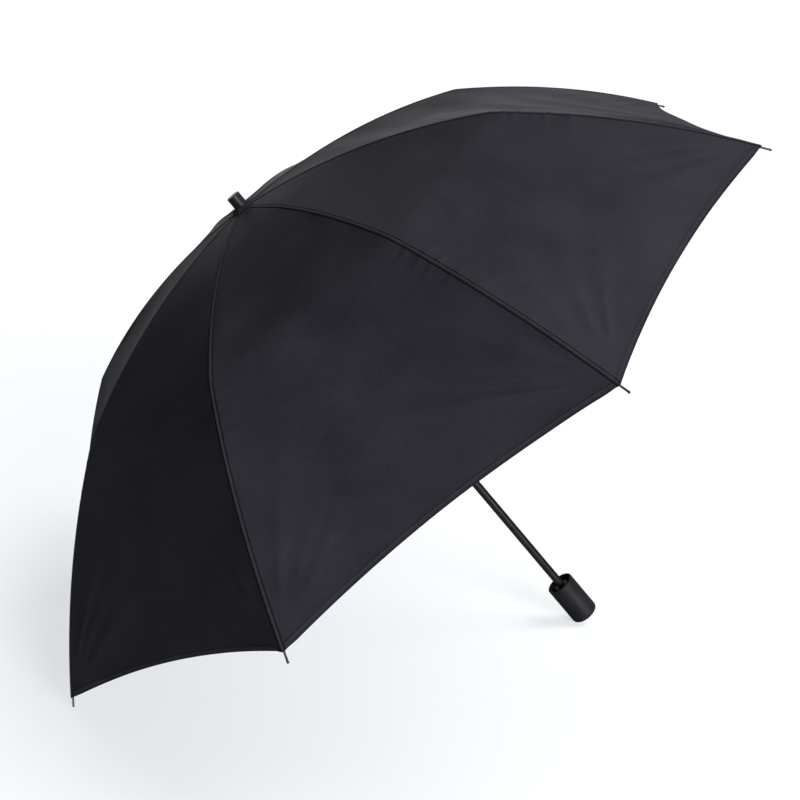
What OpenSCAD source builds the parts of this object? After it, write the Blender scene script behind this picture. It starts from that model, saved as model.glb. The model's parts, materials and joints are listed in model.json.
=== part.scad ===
// Folding umbrella: eight ribs in three sections each, on a shaft of three
// telescoping tubes, with a short cupped handle. Modelled open.
// The origin is the middle of the handle, +Z runs up the shaft, and rib 1 points along +X.

/* [Canopy] */
// Distance from the shaft to a corner of the fabric
tip_radius = 475; // [460:1:480]
// Height of the corners of the fabric
tip_height = 348.5; // [340:0.5:356]
// Distance from the shaft to the bend in a rib
knee_radius = 278; // [274:1:282]
// Height of the fabric at the bend in a rib
knee_height = 527.5; // [524:0.5:531]
// Height of the fabric where it meets the ferrule
apex_height = 592; // [592:0.5:593]
// Rise of the upper part of a rib above a straight line
rib_sag = 14.5; // [12:0.5:16]
// Rise of the outer part of a rib above a straight line
rib_bow = 9.5; // [8:0.5:10]
// How far the middle of a hem pulls in and up
hem_pull = 9.6; // [6:0.2:12]
// Thickness of the fabric
fabric = 0.8; // [0.6:0.1:0.9]

/* [Ribs] */
// Height of the rib hinges on the crown
crown_height = 586.25; // [586:0.25:586.5]
// Distance from the shaft to the rib and stretcher hinges
hinge_radius = 9.5; // [9.5:0.1:9.8]
// Width of a channel section
rib_width = 3.4; // [3.2:0.1:3.5]
// Depth of a channel section
rib_depth = 2.6; // [2.4:0.1:2.7]
// Thickness of the sheet metal of a channel
rib_wall = 0.6; // [0.5:0.05:0.7]
// Diameter of the rod of the outer section
rod_d = 2; // [1.8:0.1:2]
// Distance along the inner rib to the stretcher's pivot
stretcher_at = 105; // [100:1:110]
// Length of a stretcher
stretcher_length = 125; // [124:0.5:126]
// Distance the metal tip stands past the fabric
tip_reach = 8; // [6:0.5:8]

/* [Shaft] */
// Outside diameter of the tube that is fixed in the handle
lower_tube_d = 9.4; // [9:0.1:9.4]
// Thickness of the wall of a tube
tube_wall = 0.6; // [0.5:0.05:0.6]
// Running clearance between two sliding parts, on the radius
slide_gap = 0.08; // [0.04:0.01:0.1]
// How far the middle tube slides down over the lower tube
middle_travel = 165; // [160:1:166]
// How far the upper tube slides down over the middle tube
upper_travel = 135.5; // [134:0.5:136]
// Length of each tube that stays inside the next
tube_overlap = 30; // [24:1:34]

/* [Handle] */
// Outside diameter of the handle
handle_d = 32; // [32:0.5:33]
// Length of the handle
handle_length = 51.5; // [51:0.5:52]
// Depth of the cup that takes the rib tips
cup_depth = 16; // [15:0.5:17]
// Radius of the rounded bottom edge
edge_round = 4; // [3:0.5:5]
// Radius of each pocket that takes a rib tip
pocket_r = 2.4; // [2:0.1:2.4]

/* [Hidden] */
$fn = 48;
arms = 8;
arm_step = 360 / arms;
pivot_offset = 2.0;
pivot_r = 1.4;
pin_r = 0.5;
pin_length = 6.4;
bore_r = 0.56;
tongue = 1.8;
eye_r = 1.5;
gap_to_pivot = 2.5;
fabric_lift = 4.3;
disc_r = 11.6;
disc_h = 3.2;
slot_w = 2.6;
hub_wall_r = 7.6;
stem_r = 2.6;
rivet_head_r = 0.9;

handle_top = handle_length / 2;
handle_bottom = -handle_length / 2;
handle_wall = 1.2;
shell_inner_r = handle_d / 2 - handle_wall;
boss_r = 8;
cup_r = 12.2;
pocket_at = 12;
cap_h = 3;
cap_r = 11.1;
handle_pin_r = 1;
handle_pin_z = handle_bottom + 20;
handle_pin_length = 26;

lower_r = lower_tube_d / 2;
middle_r = lower_r + slide_gap + tube_wall;
upper_r = middle_r + slide_gap + tube_wall;
lower_foot = handle_bottom + 8;
middle_foot = handle_top + 0.5 + middle_travel;
upper_foot = middle_foot + upper_travel;
lower_head = middle_foot + tube_overlap;
middle_head = upper_foot + tube_overlap;
upper_head = crown_height + 1;

// Points of the arm are [distance from the shaft, height].
function along(a, b, t) = a + (b - a) * t;
function slope(a, b) = atan2(b[1] - a[1], b[0] - a[0]);
function above(a, b) = [-sin(slope(a, b)), cos(slope(a, b))];
function bowed(a, b, rise, t) = along(a, b, t) + 4 * t * (1 - t) * rise * above(a, b);

crown_point = [hinge_radius, crown_height];
fabric_knee = [knee_radius, knee_height];
fabric_tip = [tip_radius, tip_height];
knee_tilt = 29;
knee_point = fabric_knee - fabric_lift * [sin(knee_tilt), cos(knee_tilt)];
middle_point = bowed(crown_point, knee_point, rib_sag, 0.5);
inner_length = norm(middle_point - crown_point);
middle_length = norm(knee_point - middle_point);
inner_slope = slope(crown_point, middle_point);
middle_slope = slope(middle_point, knee_point);
tip_point = fabric_tip - [0.3, 2.9];
outer_length = norm(tip_point - knee_point);
outer_slope = slope(knee_point, tip_point);
bow_radius = (outer_length * outer_length / 4 + rib_bow * rib_bow) / (2 * rib_bow);
bow_angle = 2 * asin(outer_length / 2 / bow_radius);
rod_from = 7;
tongue_turn = asin((rod_from - 0.1) / bow_radius);

// Each section starts at the pivot of the one before it.
function step(start, length, angle, side) = start
    + length * [cos(angle), sin(angle)] + side * pivot_offset * [-sin(angle), cos(angle)];
function begin(pivot, angle, side) = pivot - side * pivot_offset * [-sin(angle), cos(angle)];
start_slope = outer_slope + bow_angle / 2;
end_slope = outer_slope - bow_angle / 2;
middle_pivot = step(crown_point, inner_length, inner_slope, 1);
middle_start = begin(middle_pivot, middle_slope, 1);
knee_pivot = step(middle_start, middle_length, middle_slope, -1);
outer_start = begin(knee_pivot, start_slope, -1);
rod_end = outer_start + outer_length * [cos(outer_slope), sin(outer_slope)];

stretcher_end = along(crown_point, middle_point, stretcher_at / inner_length);
stretcher_drop = sqrt(pow(stretcher_length, 2) - pow(stretcher_end[0] - hinge_radius, 2));
runner_height = stretcher_end[1] - stretcher_drop;
stretcher_slope = asin(stretcher_drop / stretcher_length);
runner_foot = runner_height - 26;
ferrule_foot = apex_height + 1.2;
ferrule_r = 7.7;
ferrule_h = 16.2;
ferrule_step = 0.3;
washer_r = 13;
tip_wire_r = 1;
tip_bead_r = 1.3;
stem_top = crown_height + 13;

// ---- shared shapes ----

module arm(k) {
    rotate([0, 0, (k - 1) * arm_step]) children();
}

// Puts children at a point of the arm with +X along a slope and +Z on the fabric side.
module at(point, angle) {
    translate([point[0], 0, point[1]]) rotate([0, -angle, 0]) children();
}

module across(r, w) {
    rotate([90, 0, 0]) cylinder(h = w, r = r, center = true);
}

module block(x0, x1, w, z0, z1) {
    translate([x0, -w / 2, z0]) cube([x1 - x0, w, z1 - z0]);
}

module tube(z0, z1, outer, inner) {
    translate([0, 0, z0]) difference() {
        cylinder(h = z1 - z0, r = outer);
        translate([0, 0, -1]) cylinder(h = z1 - z0 + 2, r = inner);
    }
}

// A pressed channel that is open underneath.
module channel(x0, x1) {
    difference() {
        block(x0, x1, rib_width, -rib_depth / 2, rib_depth / 2);
        block(x0 - 1, x1 + 1, rib_width - 2 * rib_wall, -rib_depth, rib_depth / 2 - rib_wall);
    }
}

// Two ears with a rivet, at the far end of a channel. side is 1 on the fabric side.
module fork(length, side) {
    z = side * pivot_offset;
    low = side > 0 ? -rib_depth / 2 : z;
    high = side > 0 ? z : rib_depth / 2;
    for (s = [-1, 1]) translate([0, s * (rib_width - rib_wall) / 2, 0]) {
        translate([length, 0, z]) across(pivot_r, rib_wall);
        block(length - gap_to_pivot - 0.5, length, rib_wall, low, high);
    }
    translate([length, 0, z]) {
        across(pin_r, rib_width + 0.4);
        for (s = [-1, 1]) translate([0, s * (rib_width / 2 + 0.15), 0]) across(rivet_head_r, 0.3);
    }
}

// The eye that turns on a fork's rivet, at the near end of the next section.
module tongue_at(side, reach) {
    z = side * pivot_offset;
    half = 0.9;
    difference() {
        union() {
            translate([0, 0, z]) across(pivot_r, tongue);
            block(0, reach, tongue, min(z, -half), max(z, half));
        }
        translate([0, 0, z]) across(bore_r, tongue + 2);
    }
}

// The eye that turns on a hinge pin.
module pin_eye(reach) {
    difference() {
        union() {
            across(eye_r, 2);
            block(0, reach, 2, -0.9, 0.9);
        }
        across(bore_r, 4);
    }
}

// Straight hinge pins, one for each arm, in a ring.
module hinge_pins(z) {
    translate([0, 0, z]) for (k = [1:arms]) arm(k) translate([hinge_radius, 0, 0]) across(pin_r, pin_length);
}

// A disc with a notch and a pin bore for each arm.
module notched_disc(z) {
    difference() {
        translate([0, 0, z - disc_h / 2]) cylinder(h = disc_h, r = disc_r);
        for (k = [1:arms]) arm(k) {
            translate([hub_wall_r, -slot_w / 2, z - disc_h]) cube([disc_r, slot_w, 2 * disc_h]);
            translate([hinge_radius, 0, z]) across(pin_r, pin_length);
        }
    }
}

// The pin that holds the lower tube in the handle, or the hole for it.
module cross_pin(length) {
    translate([0, 0, handle_pin_z]) rotate([0, 90, 0]) cylinder(h = length, r = handle_pin_r, center = true);
}

// ---- handle ----

module handle_shell() {
    r = handle_d / 2;
    color([0.07, 0.07, 0.075]) translate([0, 0, handle_bottom]) rotate_extrude($fn = 96) difference() {
        union() {
            translate([0, edge_round]) square([r, handle_length - edge_round - 0.6]);
            translate([0, handle_length - 0.7]) square([r - 0.5, 0.7]);
            square([r - edge_round, edge_round + 1]);
            translate([r - edge_round, edge_round]) circle(r = edge_round);
        }
        translate([-1, cap_h]) square([shell_inner_r + 1, handle_length]);
        translate([-1, -1]) square([cap_r + 1.1, cap_h + 2]);
    }
}

module handle_core() {
    floor_z = handle_top - cup_depth;
    color([0.05, 0.05, 0.052]) difference() {
        translate([0, 0, handle_bottom + cap_h]) cylinder(h = handle_length - cap_h - 2, r = shell_inner_r);
        difference() {
            translate([0, 0, floor_z]) union() {
                cylinder(h = cup_depth, r = cup_r);
                for (k = [1:arms]) arm(k) translate([pocket_at, 0, 0]) cylinder(h = cup_depth, r = pocket_r);
            }
            translate([0, 0, floor_z - 1]) cylinder(h = cup_depth - 2, r = boss_r);
        }
        translate([0, 0, lower_foot]) cylinder(h = handle_length, r = lower_r);
        cross_pin(handle_d);
    }
}

module end_cap() {
    color([0.06, 0.06, 0.065]) translate([0, 0, handle_bottom]) {
        cylinder(h = cap_h - 0.1, r = cap_r);
        translate([0, 0, cap_h - 0.1]) cylinder(h = 0.1, r = cap_r - 2);
    }
}

module handle_pin() {
    color([0.7, 0.7, 0.72]) cross_pin(handle_pin_length);
}

// ---- shaft ----

module lower_tube() {
    color([0.1, 0.1, 0.1]) difference() {
        tube(lower_foot, lower_head, lower_r, lower_r - tube_wall);
        cross_pin(handle_d);
    }
}

module middle_tube() {
    color([0.1, 0.1, 0.1]) tube(middle_foot, middle_head, middle_r, lower_r + slide_gap);
}

module upper_tube() {
    color([0.1, 0.1, 0.1]) tube(upper_foot, upper_head, upper_r, middle_r + slide_gap);
}

// ---- crown ----

module crown() {
    color([0.08, 0.08, 0.085]) difference() {
        union() {
            notched_disc(crown_height);
            translate([0, 0, crown_height - 9]) cylinder(h = 12, r = hub_wall_r);
            translate([0, 0, crown_height + 3]) cylinder(h = 2, r = 6);
            translate([0, 0, crown_height + 5]) cylinder(h = stem_top - crown_height - 5, r = stem_r);
        }
        translate([0, 0, crown_height - 10]) cylinder(h = upper_head + 10 - crown_height, r = upper_r);
    }
}

module crown_pins() {
    color([0.6, 0.6, 0.62]) hinge_pins(crown_height);
}

module ferrule() {
    skirt = 1.6;
    edge = 1;
    wall_r = ferrule_r - ferrule_step;
    color([0.03, 0.03, 0.035]) difference() {
        translate([0, 0, ferrule_foot]) rotate_extrude($fn = 64) union() {
            square([ferrule_r, skirt]);
            translate([0, skirt]) square([wall_r, ferrule_h - skirt - edge]);
            translate([0, ferrule_h - edge]) square([wall_r - edge, edge]);
            translate([wall_r - edge, ferrule_h - edge]) intersection() {
                circle(r = edge);
                square(2 * edge);
            }
        }
        translate([0, 0, ferrule_foot - 1]) cylinder(h = stem_top - ferrule_foot + 1, r = stem_r);
    }
}

module top_washer() {
    color([0.05, 0.05, 0.055]) tube(apex_height + 0.2, ferrule_foot, washer_r, stem_r);
}

// ---- canopy ----

hub_r = 6.2;
upper_rows = 10;
outer_rows = 10;
panel_columns = 6;
rows = upper_rows + outer_rows;
columns = arms * panel_columns;
apex_point = [hub_r, apex_height];

// The fabric along a rib, row by row from the apex to the tip.
function rib_row(i) = i <= upper_rows
    ? bowed(apex_point, fabric_knee, rib_sag, i / upper_rows)
    : bowed(fabric_knee, fabric_tip, rib_bow, (i - upper_rows) / outer_rows);

// How far the middle of a panel pulls in and up at a row. It is zero at the apex.
function pull(i) = hem_pull * pow(i / rows, 6);

function ring(i, drop) = [for (j = [0:columns - 1])
    let (
        p = rib_row(i),
        panel = floor(j / panel_columns),
        t = j / panel_columns - panel,
        a = panel * arm_step,
        b = a + arm_step,
        mid = a + arm_step / 2,
        lift = 4 * t * (1 - t) * pull(i),
        x = along(p[0] * cos(a), p[0] * cos(b), t) - lift * cos(mid),
        y = along(p[0] * sin(a), p[0] * sin(b), t) - lift * sin(mid)
    )
    [x, y, p[1] + lift - drop]
];

module canopy() {
    count = (rows + 1) * columns;
    top = [for (i = [0:rows]) each ring(i, 0)];
    under = [for (i = [0:rows]) each ring(i, fabric)];
    near = [for (i = [0:rows - 1], j = [0:columns - 1])
        let (a = i * columns + j, b = i * columns + (j + 1) % columns)
        [a, a + columns, b + columns, b]];
    skin = [for (q = near) each [[q[0], q[2], q[1]], [q[0], q[3], q[2]]]];
    lining = [for (f = skin) [f[0] + count, f[2] + count, f[1] + count]];
    edges = [for (j = [0:columns - 1])
        let (n = (j + 1) % columns, o = rows * columns)
        each [
            [j, j + count, n + count], [j, n + count, n],
            [o + j, o + n + count, o + j + count], [o + j, o + n, o + n + count]
        ]];
    color([0.1, 0.1, 0.12]) polyhedron(points = concat(top, under), faces = concat(skin, lining, edges));
}

// ---- runner ----

module runner() {
    color([0.06, 0.06, 0.065]) difference() {
        union() {
            notched_disc(runner_height);
            translate([0, 0, runner_foot]) cylinder(h = 28, r = hub_wall_r);
            translate([0, 0, runner_foot]) cylinder(h = 23, r = hub_wall_r + 0.8);
            translate([0, 0, runner_foot]) cylinder(h = 2, r = hub_wall_r + 1.6);
            translate([0, -3.5, runner_foot + 8]) cube([10.5, 7, 13]);
        }
        translate([0, 0, runner_foot - 1]) cylinder(h = 40, r = upper_r + slide_gap);
        translate([8, -2.3, runner_foot + 10]) cube([6, 4.6, 9]);
    }
}

module runner_pins() {
    color([0.6, 0.6, 0.62]) hinge_pins(runner_height);
}

module release_button() {
    color([0.5, 0.5, 0.52]) translate([9.3, -2.2, runner_foot + 10.1]) cube([2.6, 4.4, 8.8]);
}

// ---- arms ----

module inner_rib(k) {
    color([0.12, 0.12, 0.12]) arm(k) at(crown_point, inner_slope) {
        pin_eye(5);
        channel(4, inner_length - gap_to_pivot);
        block(4, 5.5, rib_width, -0.9, 0.9);
        fork(inner_length, 1);
    }
}

module middle_rib(k) {
    color([0.12, 0.12, 0.12]) arm(k) at(middle_start, middle_slope) {
        tongue_at(1, 4.5);
        channel(gap_to_pivot, middle_length - gap_to_pivot);
        block(gap_to_pivot + 0.5, 4.5, rib_width, -0.9, 0.9);
        fork(middle_length, -1);
    }
}

module outer_rib(k) {
    color([0.12, 0.12, 0.12]) arm(k) at(outer_start, start_slope) {
        tongue_at(-1, rod_from);
        // A rod that bends down along the arc of the bow
        translate([0, 0, -bow_radius]) rotate([90, 0, 0]) rotate([0, 0, 90 - bow_angle])
            rotate_extrude(angle = bow_angle - tongue_turn, $fn = 360) translate([bow_radius, 0])
                circle(d = rod_d, $fn = 24);
    }
}

module rib_tip(k) {
    color([0.25, 0.25, 0.26]) arm(k) at(rod_end, end_slope) {
        rotate([0, 90, 0]) {
            cylinder(h = tip_reach - 1, r = tip_wire_r);
            translate([0, 0, tip_reach - 1]) sphere(r = tip_bead_r);
        }
    }
}

module stretcher(k) {
    ear = 0.7;
    inside = 4.2;
    color([0.12, 0.12, 0.12]) arm(k) at([hinge_radius, runner_height], stretcher_slope) {
        pin_eye(5);
        block(3.5, 7, inside + 2 * ear, -1.3, 1.3);
        for (s = [-1, 1]) translate([0, s * (inside + ear) / 2, 0]) {
            block(6, stretcher_length, ear, -1.3, 1.3);
            translate([stretcher_length, 0, 0]) {
                across(1.6, ear);
                across(0.8, ear + 0.5);
            }
        }
    }
}

// ---- nodes ----

handle_shell();
handle_core();
end_cap();
handle_pin();
lower_tube();
middle_tube();
upper_tube();
crown();
crown_pins();
ferrule();
top_washer();
canopy();
runner();
runner_pins();
release_button();
for (k = [1:arms]) {
    inner_rib(k);
    middle_rib(k);
    outer_rib(k);
    rib_tip(k);
    stretcher(k);
}
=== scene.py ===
import json
import math

import bpy
import numpy as np
from mathutils import Matrix, Vector


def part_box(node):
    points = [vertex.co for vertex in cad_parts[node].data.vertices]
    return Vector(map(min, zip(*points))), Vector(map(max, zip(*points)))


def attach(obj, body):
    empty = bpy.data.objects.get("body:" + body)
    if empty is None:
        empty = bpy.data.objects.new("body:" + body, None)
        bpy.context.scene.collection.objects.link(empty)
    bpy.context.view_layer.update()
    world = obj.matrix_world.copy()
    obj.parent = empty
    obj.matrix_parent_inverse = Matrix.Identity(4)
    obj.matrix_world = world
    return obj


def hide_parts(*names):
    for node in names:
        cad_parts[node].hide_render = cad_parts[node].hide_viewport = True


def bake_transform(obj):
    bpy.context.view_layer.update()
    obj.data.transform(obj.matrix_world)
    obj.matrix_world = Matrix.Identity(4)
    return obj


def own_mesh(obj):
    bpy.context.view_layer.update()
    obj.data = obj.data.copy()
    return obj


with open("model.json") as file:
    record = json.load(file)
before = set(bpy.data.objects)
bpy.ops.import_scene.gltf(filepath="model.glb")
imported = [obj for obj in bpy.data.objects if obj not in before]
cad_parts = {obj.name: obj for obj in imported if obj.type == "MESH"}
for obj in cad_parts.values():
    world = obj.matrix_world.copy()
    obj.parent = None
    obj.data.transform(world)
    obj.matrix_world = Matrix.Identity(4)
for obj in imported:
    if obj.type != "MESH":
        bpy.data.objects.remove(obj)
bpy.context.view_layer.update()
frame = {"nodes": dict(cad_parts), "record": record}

MM = 0.001
ARMS = 8
STEP = 2 * math.pi / ARMS

# ---- the canopy's driving sizes, in mm and radians ----
# The points of one arm are (distance from the shaft, height). They and the next two are as in part.scad.

APEX = np.array((6.2, 592.0))
KNEE = np.array((278.0, 527.5))
TIP = np.array((475.0, 348.5))
RIB_SAG = 14.5            # how far the rib line bows up between the apex and the knee
RIB_BOW = 9.5             # how far it bows up between the knee and the tip
UPPER_LENGTH = 283.5      # about the length of the rib line from the apex to the knee
OUTER_LENGTH = 267.1      # and from the knee to the tip
UPPER_SLOPE = -0.4663     # of the rib line just before the knee
OUTER_SLOPE = -0.6796     # and just after it
KNEE_TURN = 0.16          # turn of the rib line that the cloth rounds off at the knee
HEM_PULL = 9.6            # how far the hem is pulled in and up between two tips
HEM_WIDTH = 7.0
STITCH = 1.2              # the hem's stitches lie this far inside its upper edge
SEAM = 1.7                # half width of the seam on a rib
CLOTH = 0.5               # thickness of the visible cloth
TOP_EDGE = 17.0           # distance from the shaft where the top cap ends
FOLD_EDGE = 146.3         # distance from the shaft of the fold between inner and middle rib
UPRIGHT = np.array((0, 0, 1.0))

rng = np.random.default_rng(11)


# ---- camera ----

CAMERA_PLACE = Vector((-0.7855, 1.5255, 0.86125))
CAMERA_FORWARD = Vector((0.43868, -0.84668, -0.30115)).normalized()
CAMERA_UP = Vector((-0.46747, -0.50121, 0.72819))
CAMERA_LENS = 73.645      # in mm, for a sensor 36 mm wide


def make_camera():
    data = bpy.data.cameras.new("camera")
    data.lens = CAMERA_LENS
    data.sensor_width = 36.0
    data.clip_start = 0.05
    data.clip_end = 200.0
    camera = bpy.data.objects.new("camera", data)
    bpy.context.collection.objects.link(camera)
    right = CAMERA_FORWARD.cross(CAMERA_UP).normalized()
    up = right.cross(CAMERA_FORWARD)
    turn = Matrix((right, up, -CAMERA_FORWARD)).transposed()
    camera.matrix_world = Matrix.Translation(CAMERA_PLACE) @ turn.to_4x4()
    bpy.context.scene.camera = camera


# ---- floor and light ----
# The umbrella lies on two rib tips and on the edge of its handle, so the floor is a slanted plane here.
# Right and near are directions in that plane, as the camera sees it.

FLOOR_UP = Vector((-0.60054, -0.24875, 0.75991)).normalized()
FLOOR_OFFSET = -0.02883
FLOOR_RIGHT = Vector((-0.7455, -0.1695, -0.6446)).normalized()
FLOOR_NEAR = Vector((-0.2891, 0.9536, 0.0837)).normalized()
FLOOR_REACH = 60.0


def sun(name, right, up, near, strength, spread, colour):
    """A soft light that shines from the direction (right, up, near) over the floor."""
    data = bpy.data.lights.new(name, "SUN")
    data.energy = strength
    data.angle = math.radians(spread)
    data.color = colour
    light = bpy.data.objects.new(name, data)
    toward = FLOOR_RIGHT * right + FLOOR_UP * up + FLOOR_NEAR * near
    light.rotation_mode = "QUATERNION"
    light.rotation_quaternion = toward.to_track_quat("Z", "Y")
    light.location = toward.normalized() * 3
    bpy.context.collection.objects.link(light)


def make_stage():
    mesh = bpy.data.meshes.new("floor")
    centre = FLOOR_UP * FLOOR_OFFSET
    corners = [centre + FLOOR_RIGHT * a * FLOOR_REACH + FLOOR_NEAR * b * FLOOR_REACH
               for a, b in ((-1, -1), (1, -1), (1, 1), (-1, 1))]
    faces = [(0, 1, 2, 3)]
    if (corners[1] - corners[0]).cross(corners[3] - corners[0]).dot(FLOOR_UP) < 0:
        faces = [(3, 2, 1, 0)]
    mesh.from_pydata(corners, [], faces)
    floor = bpy.data.objects.new("floor", mesh)
    bpy.context.collection.objects.link(floor)
    mesh.materials.append(floor_white())

    bpy.context.scene.world = studio_world()
    sun("key", 0.5, 0.84, -0.08, 3.0, 42, (1.0, 0.99, 0.97))
    sun("front", 0.45, 0.23, 0.86, 6.9, 34, (0.955, 0.95, 1.0))
    sun("rim", -0.2, 0.24, -0.95, 0.75, 40, (1.0, 1.0, 0.98))
    bpy.context.scene.view_settings.view_transform = "Standard"


def floor_white():
    """A pale floor that is seen only from above, so it never hides the object from below."""
    mat, bsdf = new_material("floor_white")
    tree = mat.node_tree
    geometry = tree.nodes.new("ShaderNodeNewGeometry")
    clear = tree.nodes.new("ShaderNodeBsdfTransparent")
    mix = tree.nodes.new("ShaderNodeMixShader")
    out = next(n for n in tree.nodes if n.type == "OUTPUT_MATERIAL")
    tree.links.new(geometry.outputs["Backfacing"], mix.inputs[0])
    tree.links.new(bsdf.outputs[0], mix.inputs[1])
    tree.links.new(clear.outputs[0], mix.inputs[2])
    tree.links.new(mix.outputs[0], out.inputs["Surface"])
    bsdf.inputs["Base Color"].default_value = (0.28, 0.282, 0.286, 1)
    bsdf.inputs["Roughness"].default_value = 0.7
    bsdf.inputs["Specular IOR Level"].default_value = 0.1
    bsdf.inputs["Emission Color"].default_value = (0.95, 0.985, 1.0, 1)
    # The glow lifts the floor to white without lighting the object from below.
    seen = tree.nodes.new("ShaderNodeLightPath").outputs["Is Camera Ray"]
    tree.links.new(span(tree, seen, 0.0, 0.64), bsdf.inputs["Emission Strength"])
    return mat


def studio_world():
    """A studio with a large soft box overhead and darker walls. Its backdrop is white."""
    world = bpy.data.worlds.new("studio")
    world.use_nodes = True
    tree = world.node_tree
    background = tree.nodes["Background"]
    direction = tree.nodes.new("ShaderNodeTexCoord").outputs["Generated"]
    rise = tree.nodes.new("ShaderNodeVectorMath")
    rise.operation = "DOT_PRODUCT"
    rise.inputs[1].default_value = FLOOR_UP
    tree.links.new(direction, rise.inputs[0])
    sky = ramp(tree, rise.outputs["Value"], (0.03, 0.03, 0.032), (0.09, 0.09, 0.092), 0.2, 0.9)
    seen = tree.nodes.new("ShaderNodeLightPath").outputs["Is Camera Ray"]
    choose = tree.nodes.new("ShaderNodeMix")
    choose.data_type = "RGBA"
    choose.inputs[7].default_value = (1, 1, 1, 1)
    tree.links.new(seen, choose.inputs["Factor"])
    tree.links.new(sky, choose.inputs[6])
    tree.links.new(choose.outputs[2], background.inputs["Color"])
    return world


# ---- materials ----

def new_material(name):
    mat = bpy.data.materials.new(name)
    mat.use_nodes = True
    return mat, mat.node_tree.nodes["Principled BSDF"]


def add(tree, kind, **inputs):
    """A new node with its inputs set. An underscore in a name stands for a space."""
    node = tree.nodes.new(kind)
    for key, value in inputs.items():
        node.inputs[key.replace("_", " ")].default_value = value
    return node


def ramp(tree, source, low, high, start=0.0, end=1.0):
    """The colour low where source is start, and high where it is end."""
    node = tree.nodes.new("ShaderNodeValToRGB")
    node.color_ramp.elements[0].position = start
    node.color_ramp.elements[1].position = end
    node.color_ramp.elements[0].color = (*low, 1)
    node.color_ramp.elements[1].color = (*high, 1)
    tree.links.new(source, node.inputs[0])
    return node.outputs[0]


def span(tree, source, low, high, start=0.0, end=1.0):
    """The number low where source is start, and high where it is end."""
    node = add(tree, "ShaderNodeMapRange", From_Min=start, From_Max=end, To_Min=low, To_Max=high)
    tree.links.new(source, node.inputs["Value"])
    return node.outputs["Result"]


def noise(tree, coordinates, scale, detail=4.0, rough=0.5):
    node = add(tree, "ShaderNodeTexNoise", Scale=scale, Detail=detail, Roughness=rough)
    tree.links.new(coordinates, node.inputs["Vector"])
    return node.outputs["Fac"]


def stretched(tree, coordinates, scale):
    node = tree.nodes.new("ShaderNodeMapping")
    node.inputs["Scale"].default_value = scale
    tree.links.new(coordinates, node.inputs["Vector"])
    return node.outputs[0]


def bump(tree, bsdf, layers):
    """One bump node for each (height, strength, distance), each on top of the one before."""
    last = None
    for height, strength, distance in layers:
        node = add(tree, "ShaderNodeBump", Strength=strength, Distance=distance)
        tree.links.new(height, node.inputs["Height"])
        if last is not None:
            tree.links.new(last, node.inputs["Normal"])
        last = node.outputs[0]
    tree.links.new(last, bsdf.inputs["Normal"])


def calculate(tree, operation, *values):
    """A maths node. A value is a number or the output of another node."""
    node = tree.nodes.new("ShaderNodeMath")
    node.operation = operation
    for i, value in enumerate(values):
        if isinstance(value, float):
            node.inputs[i].default_value = value
        else:
            tree.links.new(value, node.inputs[i])
    return node.outputs[0]


def line_at(tree, distance, width):
    """1 where the distance is zero, falling to 0 at width on both sides."""
    return span(tree, calculate(tree, "ABSOLUTE", distance), 1.0, 0.0, 0.0, width)


def tinted(tree, first, second):
    node = tree.nodes.new("ShaderNodeMix")
    node.data_type = "RGBA"
    node.blend_type = "MULTIPLY"
    node.inputs["Factor"].default_value = 1.0
    tree.links.new(first, node.inputs[6])
    tree.links.new(second, node.inputs[7])
    return node.outputs[2]


def plastic(name, dark, light, rough_low, rough_high, grain, specular=0.5):
    """Moulded plastic: fine grain, soft cloudy tone, and faint scuffs."""
    mat, bsdf = new_material(name)
    tree = mat.node_tree
    place = tree.nodes.new("ShaderNodeTexCoord").outputs["Object"]
    cloud = noise(tree, place, 60.0, 5.0, 0.6)
    fine = noise(tree, place, 2600.0, 2.0)
    scuff = noise(tree, stretched(tree, place, (900.0, 900.0, 60.0)), 1.0, 3.0, 0.7)
    tree.links.new(ramp(tree, cloud, dark, light, 0.3, 0.75), bsdf.inputs["Base Color"])
    tree.links.new(span(tree, scuff, rough_low, rough_high, 0.3, 0.7), bsdf.inputs["Roughness"])
    bsdf.inputs["Specular IOR Level"].default_value = specular
    bump(tree, bsdf, [(fine, grain, 0.0002), (cloud, 0.15, 0.0004)])
    return mat


def metal(name, dark, light, metallic, rough_low, rough_high, lines, specular=0.5):
    """Drawn or coated metal: long fine draw lines, small spots and patches of tone. The draw lines
    are noise, and lines is its scale along each axis."""
    mat, bsdf = new_material(name)
    tree = mat.node_tree
    place = tree.nodes.new("ShaderNodeTexCoord").outputs["Object"]
    drawn = noise(tree, stretched(tree, place, lines), 1.0, 3.0, 0.6)
    cloud = noise(tree, place, 90.0, 4.0, 0.6)
    spots = noise(tree, place, 1500.0, 2.0)
    tree.links.new(ramp(tree, cloud, dark, light, 0.3, 0.75), bsdf.inputs["Base Color"])
    tree.links.new(span(tree, drawn, rough_low, rough_high, 0.3, 0.7), bsdf.inputs["Roughness"])
    bsdf.inputs["Metallic"].default_value = metallic
    bsdf.inputs["Specular IOR Level"].default_value = specular
    bump(tree, bsdf, [(drawn, 0.12, 0.0001), (spots, 0.1, 0.0001)])
    return mat


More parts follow.
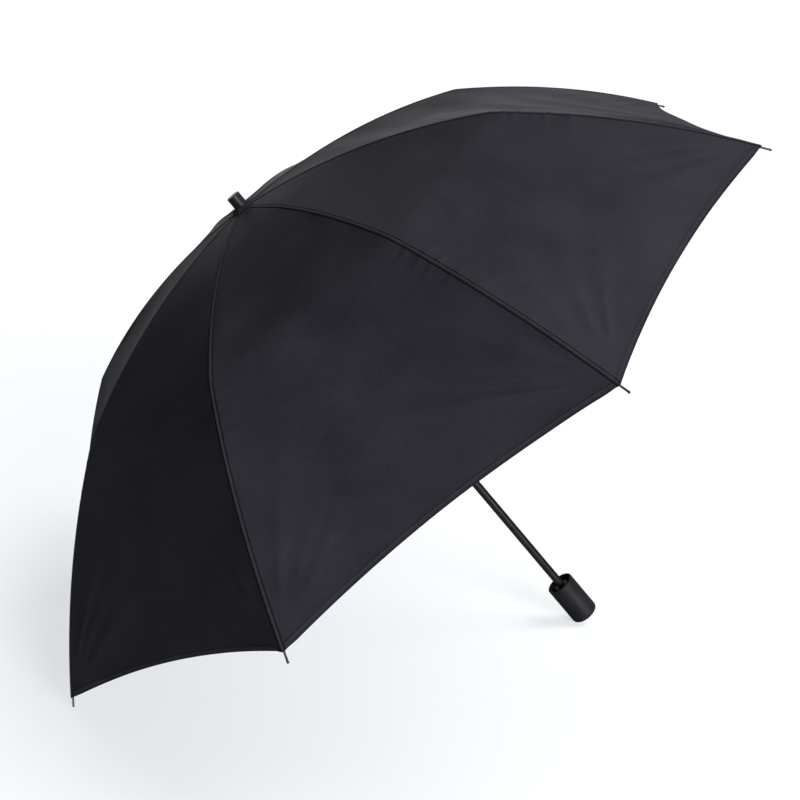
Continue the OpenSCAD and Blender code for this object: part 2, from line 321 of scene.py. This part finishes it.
def fabric():
    """Fine plain weave with a thin coating. UVs run along and across a rib, in metres."""
    mat, bsdf = new_material("canopy_cloth")
    tree = mat.node_tree
    cloth_map = tree.nodes.new("ShaderNodeUVMap")
    cloth_map.uv_map = "cloth"
    flat = cloth_map.outputs[0]
    place = tree.nodes.new("ShaderNodeTexCoord").outputs["Object"]

    threads = []
    for direction in ("X", "Y"):
        wave = add(tree, "ShaderNodeTexWave", Scale=520.0, Distortion=0.6, Detail=2.0)
        wave.wave_type = "BANDS"
        wave.bands_direction = direction
        wave.wave_profile = "SIN"
        tree.links.new(flat, wave.inputs["Vector"])
        threads.append(wave.outputs["Fac"])
    weave = calculate(tree, "MULTIPLY", *threads)

    parts = tree.nodes.new("ShaderNodeSeparateXYZ")
    tree.links.new(flat, parts.inputs[0])
    from_rib = calculate(tree, "ABSOLUTE", parts.outputs["X"])
    stitch_line = UPPER_LENGTH + OUTER_LENGTH - HEM_WIDTH + STITCH
    to_hem = calculate(tree, "SUBTRACT", parts.outputs["Y"], stitch_line * MM)
    # Painted shade: a dark line along the seam's groove, standing in for the shade that the groove is
    # too narrow to cast.
    painted_groove_shade = line_at(tree, calculate(tree, "SUBTRACT", parts.outputs["X"], (SEAM + 0.7) * MM), 0.0012)
    # Painted highlight: the narrow seam band beside the rib is made lighter, as if its tilt caught the
    # light.
    painted_seam_highlight = span(tree, from_rib, 1.0, 0.0, SEAM * 0.8 * MM, (SEAM + 0.3) * MM)
    # Painted shade: a dark line in the shallow groove of the hem's stitches.
    painted_stitch_shade = line_at(tree, to_hem, 0.0008)
    # Painted shade: the last few mm of the hem, where it turns in away from the light, are made darker.
    painted_hem_shade = span(tree, to_hem, 0.0, 1.0, 0.0022, 0.0055)

    slub = noise(tree, stretched(tree, flat, (2400.0, 140.0, 1.0)), 1.0, 2.0, 0.6)
    cloud = noise(tree, place, 14.0, 5.0, 0.6)
    crinkle = noise(tree, place, 55.0, 4.0, 0.55)

    tone = ramp(tree, cloud, (0.0120, 0.0117, 0.0150), (0.0180, 0.0176, 0.0222), 0.3, 0.72)
    thread_tone = ramp(tree, slub, (0.8, 0.8, 0.8), (1.15, 1.15, 1.15), 0.35, 0.65)
    cloth = tinted(tree, tone, thread_tone)
    # These tints paint shade in the seam groove, in the stitch groove and on the turned-in hem, and a
    # painted highlight on the seam band.
    for mask, colour in ((painted_seam_highlight, (1.15, 1.15, 1.13)), (painted_groove_shade, (0.08, 0.08, 0.09)),
                         (painted_stitch_shade, (0.35, 0.35, 0.37)), (painted_hem_shade, (0.45, 0.46, 0.46))):
        cloth = tinted(tree, cloth, ramp(tree, mask, (1.0, 1.0, 1.0), colour))
    tree.links.new(cloth, bsdf.inputs["Base Color"])
    tree.links.new(span(tree, cloud, 0.62, 0.78, 0.3, 0.7), bsdf.inputs["Roughness"])
    bsdf.inputs["Specular IOR Level"].default_value = 0.05
    bsdf.inputs["Sheen Weight"].default_value = 0.03
    bsdf.inputs["Sheen Roughness"].default_value = 0.22
    bsdf.inputs["Sheen Tint"].default_value = (0.75, 0.8, 0.9, 1)
    bump(tree, bsdf, [(weave, 0.12, 0.00006), (slub, 0.12, 0.00006), (crinkle, 0.25, 0.0006)])
    return mat


def make_materials():
    """The CAD nodes that stay visible take the material of their slot."""
    black = plastic("handle_black", (0.0055, 0.005, 0.0058), (0.0085, 0.008, 0.0092), 0.45, 0.6, 0.25,
                    specular=0.12)
    moulded = plastic("runner_plastic", (0.012, 0.012, 0.013), (0.022, 0.022, 0.024), 0.35, 0.5, 0.2)
    gloss = plastic("ferrule_gloss", (0.004, 0.004, 0.0045), (0.008, 0.008, 0.009), 0.34, 0.46, 0.03,
                    specular=0.12)
    shaft = metal("shaft_black", (0.005, 0.0046, 0.0046), (0.008, 0.0075, 0.0075), 0.0, 0.2, 0.3,
                  (3000.0, 3000.0, 18.0), specular=0.2)
    steel = metal("bright_steel", (0.42, 0.42, 0.44), (0.6, 0.6, 0.61), 1.0, 0.25, 0.42,
                  (1800.0, 1800.0, 1800.0))
    ribs = metal("rib_black", (0.014, 0.014, 0.014), (0.03, 0.03, 0.031), 0.3, 0.32, 0.5,
                 (700.0, 700.0, 700.0))
    tips = metal("tip_metal", (0.006, 0.006, 0.0062), (0.013, 0.013, 0.0133), 0.2, 0.3, 0.45,
                 (1200.0, 1200.0, 1200.0))
    by_slot = {"handle_black": black, "runner_plastic": moulded, "ferrule_gloss": gloss,
               "shaft_black": shaft, "bright_steel": steel, "rib_black": ribs, "tip_metal": tips}
    for part in frame["record"]["subparts"]:
        mat = by_slot.get(part["material_slot"])
        if mat is None:
            continue    # the canopy, which has its own pieces and material
        node = frame["nodes"][part["node"]]
        if not node.material_slots:
            node.data.materials.append(mat)
        for place in node.material_slots:
            place.material = mat


# ---- the canopy's surface ----

def smooth(x):
    """0 up to x = 0 and 1 from x = 1, with a soft step between."""
    x = np.clip(x, 0.0, 1.0)
    return x * x * (3 - 2 * x)


def bowed(a, b, rise, t):
    """The point at share t of a parabola from a to b, which rises by rise over the chord."""
    chord = b - a
    above = np.array((-chord[1], chord[0])) / np.linalg.norm(chord)
    return a + chord * t[..., None] + (4 * t * (1 - t) * rise)[..., None] * above


def rib_line(u):
    """The fabric along a rib. u is 0 at the apex, 1 at the knee and 2 at the tip."""
    upper = bowed(APEX, KNEE, RIB_SAG, np.clip(u, 0, 1))
    outer = bowed(KNEE, TIP, RIB_BOW, np.clip(u - 1, 0, 1.2))
    return np.where((u <= 1)[..., None], upper, outer)


# How each panel differs. soft is the width over which the knee crease is rounded at its middle,
# fan is how far the folds from the two corners reach, and size is how high they are.
PANELS = {
    0: dict(soft=14, fan=(55, 65), size=(1.0, 1.2)),
    1: dict(soft=1, fan=(60, 70), size=(1.0, 0.9)),
    2: dict(soft=12, fan=(60, 150), size=(0.9, 1.7)),
    3: dict(soft=2, fan=(75, 70), size=(1.5, 1.2)),
    4: dict(soft=12, fan=(80, 60), size=(1.6, 1.2)),
    5: dict(soft=10, fan=(60, 60), size=(1.2, 1.1)),
    6: dict(soft=8, fan=(65, 60), size=(1.1, 1.2)),
    7: dict(soft=12, fan=(60, 60), size=(1.2, 1.0)),
}
# Each ray and pucker has its place, its spread and its height, for both sides of a panel.
for panel in PANELS.values():
    panel["rays"] = [[(a + rng.uniform(-4, 4), rng.uniform(4.5, 7.0), rng.uniform(0.6, 1.0))
                      for a in (18, 39, 58)] for _ in range(2)]
    panel["puckers"] = [[(s + rng.uniform(-3, 3), rng.uniform(2.6, 4.2), rng.uniform(0.4, 1.0))
                         for s in (12, 26, 41, 58, 78)] for _ in range(2)]
    panel["waves"] = [(rng.uniform(0.018, 0.05), rng.uniform(0.018, 0.06), rng.uniform(0, 6.28),
                       rng.uniform(0.12, 0.3)) for _ in range(5)]
# One corner shows two long creases beside its hem.
PANELS[2]["rays"][1] = [(19, 6.0, 0.6), (41, 3.2, 1.0), (53, 3.6, 0.9)]


def past_knee(u):
    """Distance along the rib line from the knee, in mm, which is negative above it."""
    return (u - 1) * np.where(u < 1, UPPER_LENGTH, OUTER_LENGTH)


def relief(p, u, y, width):
    """Height of the cloth above the plain curved panel, in mm. y is the distance from rib p along
    the chord to rib p + 1, and width is the chord's length. It is the same on every rib."""
    facts = PANELS[p]
    t = np.clip(y / np.maximum(width, 1e-6), 0, 1)
    bulge = 4 * t * (1 - t)
    from_knee = past_knee(u)
    from_tip = np.maximum((2 - u) * OUTER_LENGTH, 0)

    # The cloth pulls in between the ribs, and its crease at the knee softens away from them.
    high = -3.6 * bulge * smooth((u - 0.2) * 1.5) * (1 - 0.45 * smooth((u - 1) * 1.3))
    soft = 1.5 + facts["soft"] * bulge
    high -= KNEE_TURN / 2 * (np.hypot(from_knee, soft) - np.abs(from_knee)) * smooth(bulge * 8)

    for side in (0, 1):
        off = y if side == 0 else width - y
        # Folds fan out from the corner.
        reach = np.hypot(off, from_tip)
        angle = np.degrees(np.arctan2(off, from_tip + 1e-6))
        fade = smooth((reach - 28) / 55) * np.exp(-reach / facts["fan"][side]) * smooth(off / 12)
        rays = 0
        for at, spread, size in facts["rays"][side]:
            rays = rays + size * np.exp(-((angle - at) / spread) ** 2)
        high += facts["size"][side] * 3.6 * fade * (rays - 0.35)
        # Small puckers cross the rib's edge just below the knee.
        pucker = 0
        for at, spread, size in facts["puckers"][side]:
            pucker = pucker + size * np.exp(-((from_knee - at - off * 0.35) / spread) ** 2)
        high += 1.5 * pucker * smooth((off - SEAM) / 3) * np.exp(-off / 15)
        # The lapped seam between two gores stands up as a narrow band with a groove beside it.
        high += 0.4 * (1 - smooth((off - SEAM + 0.25) / 0.5))
        high -= (0.5 if side == 0 else 0.3) * np.exp(-((off - SEAM - 0.6) / 0.5) ** 2)

    wave = 0
    for a, b, phase, size in facts["waves"]:
        wave = wave + size * np.sin(a * y + b * from_knee + phase)
    high += wave * smooth(bulge * 3) * smooth((u - 0.25) * 3)

    # The hem turns in, and its stitches draw a shallow line just inside its upper edge.
    past_hem = np.clip((HEM_WIDTH - from_tip) / HEM_WIDTH, 0, 1)
    high -= 4.2 * past_hem ** 2 * smooth(bulge * 6)
    high += 0.6 * smooth((HEM_WIDTH + STITCH - from_tip) / (2 * STITCH)) * smooth(bulge * 10)
    high -= 0.5 * np.exp(-((from_tip - HEM_WIDTH + STITCH) / 0.8) ** 2) * smooth(bulge * 10)
    return high


def surface(p, u, t):
    """Points of the cloth in mm. t is 0 on rib p and 1 on rib p + 1."""
    line = rib_line(u)
    r, z = line[..., 0], line[..., 1]
    a, b = p * STEP, (p + 1) * STEP
    mid = (a + b) / 2
    lift = 4 * t * (1 - t) * HEM_PULL * np.clip(u / 2, 0, 1.1) ** 6
    x = r * (math.cos(a) * (1 - t) + math.cos(b) * t) - lift * math.cos(mid)
    y = r * (math.sin(a) * (1 - t) + math.sin(b) * t) - lift * math.sin(mid)
    points = np.stack([x, y, z + lift], axis=-1)

    step = 1e-3
    ahead = rib_line(np.where(u < 1, np.minimum(u + step, 1), u + step))
    behind = rib_line(np.where(u < 1, u - step, np.maximum(u - step, 1)))
    run = ahead - behind
    slope = np.arctan2(run[..., 1], run[..., 0] * math.cos(STEP / 2))
    # The direction of the relief changes smoothly across the knee.
    upper = math.atan2(UPPER_SLOPE, math.cos(STEP / 2))
    outer = math.atan2(OUTER_SLOPE, math.cos(STEP / 2))
    from_knee = past_knee(u)
    mixed = upper + (outer - upper) * smooth(from_knee / 40 + 0.5)
    slope = np.where(np.abs(from_knee) < 20, mixed, slope)
    width = 2 * r * math.sin(STEP / 2)
    # On a rib the relief stands on the rib's own plane, so both its panels meet.
    off = np.minimum(t, 1 - t) * width
    rib = np.where(t < 0.5, a, b)
    turn = mid + (rib - mid) * (1 - smooth(off / 8))
    tilt = -np.sin(slope)
    normal = np.stack([tilt * np.cos(turn), tilt * np.sin(turn), np.cos(slope)], axis=-1)
    return points + normal * relief(p, u, t * width, width)[..., None]


def surface_normal(p, u, t):
    """The cloth's own upward normals, from points a little before and after."""
    du = 0.003
    width = 2 * rib_line(u)[..., 0] * math.sin(STEP / 2)
    dt = np.minimum(0.15 / width, 0.01)
    along = surface(p, u + du, t) - surface(p, u - du, t)
    across = surface(p, u, np.minimum(t + dt, 1)) - surface(p, u, np.maximum(t - dt, 0))
    n = np.cross(along, across)
    n /= np.linalg.norm(n, axis=-1, keepdims=True)
    return n


def rib_share(distance):
    """u of the rib line at a distance from the shaft."""
    u = np.linspace(0, 2, 4001)
    return float(np.interp(distance, rib_line(u)[:, 0], u))


def rows_between(start, end, pitch):
    """Values of u from start to end, about pitch apart along the rib."""
    length = UPPER_LENGTH if end <= 1 else OUTER_LENGTH
    count = max(2, round(abs(end - start) * length / pitch))
    return np.linspace(start, end, count + 1)


def across_half(width):
    """Distances from the rib, out to the middle of a panel, as a share of the whole chord.
    They are close together at the seam, where the cloth has its band and groove."""
    near = np.array((0.0, 0.8, 1.5, 1.8, 2.05, 2.3, 2.6, 3.0, 3.5, 4.5, 6.5, 9.0))
    columns = 36
    scale = np.minimum(1.0, width / 2 / 30)
    rest = np.linspace(0, 1, columns + 1)[1:]
    first = near[None, :] * scale[:, None]
    more = first[:, -1:] + (width[:, None] / 2 - first[:, -1:]) * rest[None, :]
    return np.concatenate([first, more], axis=1) / width[:, None]


def cloth_mesh(name, top, up, uv, thick):
    """A closed sheet: the grid of points top, the same grid moved under it, and walls between."""
    rows, columns = top.shape[:2]
    under = top - up * thick[..., None]
    points = np.concatenate([top.reshape(-1, 3), under.reshape(-1, 3)]) * MM
    count = rows * columns
    i = np.arange(rows - 1)[:, None] * columns + np.arange(columns - 1)[None, :]
    quads = np.stack([i, i + columns, i + columns + 1, i + 1], axis=-1).reshape(-1, 4)
    a, b, c = (top.reshape(-1, 3)[quads[:, k]] for k in (0, 1, 2))
    if np.einsum("ij,ij->i", np.cross(b - a, c - b), up.reshape(-1, 3)[quads[:, 0]]).sum() < 0:
        quads = quads[:, ::-1]
    edge = np.concatenate([np.arange(columns), np.arange(1, rows) * columns + columns - 1,
                           (rows - 1) * columns + np.arange(columns - 2, -1, -1),
                           np.arange(rows - 2, 0, -1) * columns])
    follow = np.roll(edge, -1)
    walls = np.stack([edge, follow, follow + count, edge + count], axis=-1)
    directed = {(int(f[k]), int(f[(k + 1) % 4])) for f in quads for k in range(4)}
    if (int(edge[0]), int(follow[0])) in directed:
        walls = walls[:, ::-1]
    faces = np.concatenate([quads, quads[:, ::-1] + count, walls])
    mesh = bpy.data.meshes.new(name)
    mesh.from_pydata(points.tolist(), [], faces.tolist())
    mesh.update()

    smooth_faces = np.ones(len(faces), bool)
    smooth_faces[2 * len(quads):] = False
    mesh.polygons.foreach_set("use_smooth", smooth_faces)
    loops = np.zeros(len(mesh.loops), np.int32)
    mesh.loops.foreach_get("vertex_index", loops)
    flat = np.concatenate([uv.reshape(-1, 2), uv.reshape(-1, 2)])[loops] * MM
    mesh.uv_layers.new(name="cloth").data.foreach_set("uv", flat.astype(np.float32).ravel())
    normals = np.concatenate([up.reshape(-1, 3), -up.reshape(-1, 3)])[loops]
    face_normals = np.zeros(len(faces) * 3, np.float32)
    mesh.polygons.foreach_get("normal", face_normals)
    # The walls come after the two grids of quads, and keep their faces' own normals.
    wall_loops = np.arange(8 * len(quads), len(loops))
    normals[wall_loops] = face_normals.reshape(-1, 3)[wall_loops // 4]
    mesh.normals_split_custom_set(normals.tolist())
    return mesh


def place_cloth(name, mesh, mat):
    """Puts a piece of cloth in the scene with its material, and hides the CAD canopy."""
    mesh.materials.append(mat)
    piece = bpy.data.objects.new(name, mesh)
    bpy.context.collection.objects.link(piece)
    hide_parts("canopy")
    return piece


def half_panel(k, side, section, u, mat, ride_on):
    """Half a gore beside rib k. side is 1 toward the next rib and -1 toward the one before."""
    p = k if side > 0 else (k - 1) % ARMS
    width = 2 * rib_line(u)[:, 0] * math.sin(STEP / 2)
    share = across_half(width)
    t = share if side > 0 else 1 - share
    grid_u = np.repeat(u[:, None], share.shape[1], axis=1)
    top = surface(p, grid_u, t)
    up = surface_normal(p, grid_u, t)
    uv = np.stack([share * width[:, None], UPPER_LENGTH + past_knee(grid_u)], axis=-1)
    thick = np.full(grid_u.shape, CLOTH)
    thick += 0.5 * smooth((HEM_WIDTH - (2 - grid_u) * OUTER_LENGTH) / 1.5)
    name = f"gore_{section}_{k + 1}_{'left' if side > 0 else 'right'}"
    mesh = cloth_mesh(name, top, up, uv, thick)
    piece = place_cloth(name, mesh, mat)
    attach(piece, ride_on)

    first, last = rib_line(u[:1])[0], rib_line(u[-1:])[0]
    phi = k * STEP
    out = np.array((math.cos(phi), math.sin(phi), 0.0))
    down = (last - first) / np.linalg.norm(last - first)
    rib = out * down[0] + UPRIGHT * down[1]
    away = phi + side * (STEP / 2 + math.pi / 2)
    chord = np.array((math.cos(away), math.sin(away), 0.0))
    flat = chord - rib * (chord @ rib)
    flat /= np.linalg.norm(flat)
    above = np.cross(rib, flat)
    above *= np.sign(above[2])
    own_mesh(piece)


def cap_piece(k, u, mat):
    """The sector of the top cap over rib k. It bends from the crown on to the inner rib."""
    width = 2 * rib_line(u)[:, 0] * math.sin(STEP / 2)
    half = across_half(width)
    grid_u = np.repeat(u[:, None], half.shape[1], axis=1)
    left = surface(k, grid_u, half)
    right = surface((k - 1) % ARMS, grid_u, 1 - half)
    up_left = surface_normal(k, grid_u, half)
    up_right = surface_normal((k - 1) % ARMS, grid_u, 1 - half)
    top = np.concatenate([right[:, :0:-1], left], axis=1)
    up = np.concatenate([up_right[:, :0:-1], up_left], axis=1)
    middle = half.shape[1] - 1
    up[:, middle] = up_left[:, 0] + up_right[:, 0]
    up /= np.linalg.norm(up, axis=-1, keepdims=True)
    over = np.concatenate([-half[:, :0:-1], half], axis=1) * width[:, None]
    uv = np.stack([over, np.repeat(u[:, None] * UPPER_LENGTH, over.shape[1], axis=1)], axis=-1)
    name = f"cap_{k + 1}"
    mesh = cloth_mesh(name, top, up, uv, np.full(over.shape, CLOTH))
    piece = place_cloth(name, mesh, mat)
    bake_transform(piece)


def fold_patch(k, name, centre, reach, half, mat):
    """A narrow strip just under the cloth that carries it round a folding joint of rib k."""
    length = UPPER_LENGTH if centre < 1 else OUTER_LENGTH
    u = centre + np.linspace(-reach / UPPER_LENGTH, reach / length, 19)
    line = rib_line(u)
    run = np.gradient(line, axis=0)
    run /= np.linalg.norm(run, axis=1, keepdims=True)
    above = np.stack([-run[:, 1], run[:, 0]], axis=1)
    line = line - above * (CLOTH + 0.06)    # just clear of the gores over it
    phi = k * STEP
    out = np.array((math.cos(phi), math.sin(phi), 0.0))
    side = np.array((-math.sin(phi), math.cos(phi), 0.0))
    over = np.linspace(-half, half, 13)
    # Away from the rib the gores turn down, and the strip goes down with them.
    fall = np.abs(over) * 0.16 + 0.1
    base = line[:, None, :] - above[:, None, :] * fall[None, :, None]
    top = base[..., :1] * out + base[..., 1:] * UPRIGHT + over[None, :, None] * side
    up = above[:, :1] * out + above[:, 1:] * UPRIGHT
    up = np.repeat(up[:, None, :], len(over), axis=1)
    uv = np.stack(np.broadcast_arrays(over[None, :], (u * UPPER_LENGTH)[:, None]), axis=-1)
    name = f"{name}_{k + 1}"
    mesh = cloth_mesh(name, top, up, uv, np.full(top.shape[:2], 0.3))
    piece = place_cloth(name, mesh, mat)
    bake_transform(piece)


def gathers(mat):
    """The canopy's cloth, bunched up in a ring over the washer and against the ferrule."""
    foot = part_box("top_washer")[1] / MM
    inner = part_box("ferrule")[1].x / MM + 0.05
    turn = np.linspace(0, 2 * math.pi, 161)[None, :-1]
    out = np.linspace(0, 1, 9)[:, None]
    ripple = (0.5 * np.sin(13 * turn + 0.8 * np.sin(2 * turn)) + 0.3 * np.sin(21 * turn + 1.3)
              + 0.25 * np.sin(5 * turn + 0.4))
    radius = inner + (foot.x + 0.7 - inner) * out * (1 + 0.05 * np.sin(9 * turn) * out)
    # It stands up against the ferrule, ripples in between, and turns down at its rim.
    height = foot.z + 0.75 + 2.0 * (1 - out) ** 1.5
    height = height + ripple * (0.35 + 0.65 * np.sin(math.pi * out)) * 0.7
    height = height - 1.3 * out ** 5
    top = np.stack([radius * np.cos(turn), radius * np.sin(turn), height], axis=-1)
    along = np.roll(top, -1, axis=1) - np.roll(top, 1, axis=1)
    up = np.cross(np.gradient(top, axis=0), along)
    up /= np.linalg.norm(up, axis=-1, keepdims=True)
    # This part of the cloth's map has no seam or hem. The last column closes the ring.
    uv = np.stack([20 + inner * turn + 0 * out, 10 + radius], axis=-1)
    top, up, uv = (np.concatenate([grid, grid[:, :1]], axis=1) for grid in (top, up, uv))
    mesh = cloth_mesh("gathers", top, up, uv, np.full(top.shape[:2], CLOTH))
    piece = place_cloth("gathers", mesh, mat)
    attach(piece, "upper_tube")


def make_canopy():
    mat = fabric()
    gathers(mat)
    cap_u = rib_share(TOP_EDGE)
    fold_u = rib_share(FOLD_EDGE)
    # The last rows, as distances from the rib's end. They are close together where the hem is turned.
    hem = 2 - np.array((13, 10.5, 8.6, 7.8, 7.2, 6.6, 6.0, 5.4, 4.6, 3.6, 2.4, 1.2, 0)) / OUTER_LENGTH
    pitch = 3.7
    # For each section: its rows, the body it rides on, and its keep, lean and aside.
    sections = {
        "inner": (rows_between(cap_u, fold_u, pitch), "inner_rib", 0.09, math.radians(1.5), 0.0),
        "middle": (rows_between(fold_u, 1.0, pitch), "middle_rib", 0.07, math.radians(-4.0), 2.3),
        "outer": (np.concatenate([rows_between(1.0, hem[0], pitch)[:-1], hem]), "outer_rib", 0.045,
                  math.radians(3.0), 0.6),
    }
    for k in range(ARMS):
        for section, (u, body, keep, lean, aside) in sections.items():
            for side in (1, -1):
                half_panel(k, side, section, u, mat, f"{body}_{k + 1}")
        cap_piece(k, rows_between(0.0, cap_u, 1.2), mat)
        fold_patch(k, "fold", fold_u, 6.0, 5.2, mat)
        fold_patch(k, "knee", 1.0, 7.5, 5.2, mat)


make_camera()
make_stage()
make_materials()
make_canopy()
